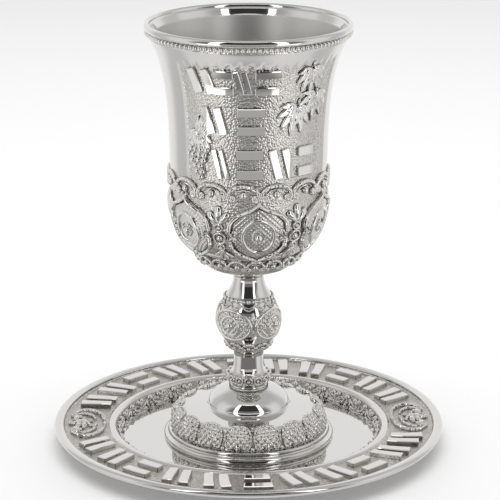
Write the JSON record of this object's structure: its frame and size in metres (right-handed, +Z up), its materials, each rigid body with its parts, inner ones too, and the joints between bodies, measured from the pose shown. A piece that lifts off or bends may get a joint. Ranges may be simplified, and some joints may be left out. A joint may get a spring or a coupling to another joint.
{
  "type": "kiddush cup with saucer",
  "caption": "Silver-coloured wine cup with a flared bowl, raised vine and medallion work, baluster stem and domed foot, standing in the well of a matching saucer.",
  "frame": {"origin": "middle of the saucer's underside, on the table", "axes": "+Z up through the cup's axis, -Y towards the front, where the raised panel is, +X to the right of someone facing the front"},
  "size_m": [0.1324, 0.1324, 0.1445],
  "materials": {
    "silver_plate": "polished silver plate, stippled and slightly darkened in the recesses of the relief"
  },
  "bodies": {
    "root": {"bowl": "silver_plate", "stem": "silver_plate", "foot": "silver_plate", "saucer": "silver_plate"}
  },
  "joints": []
}
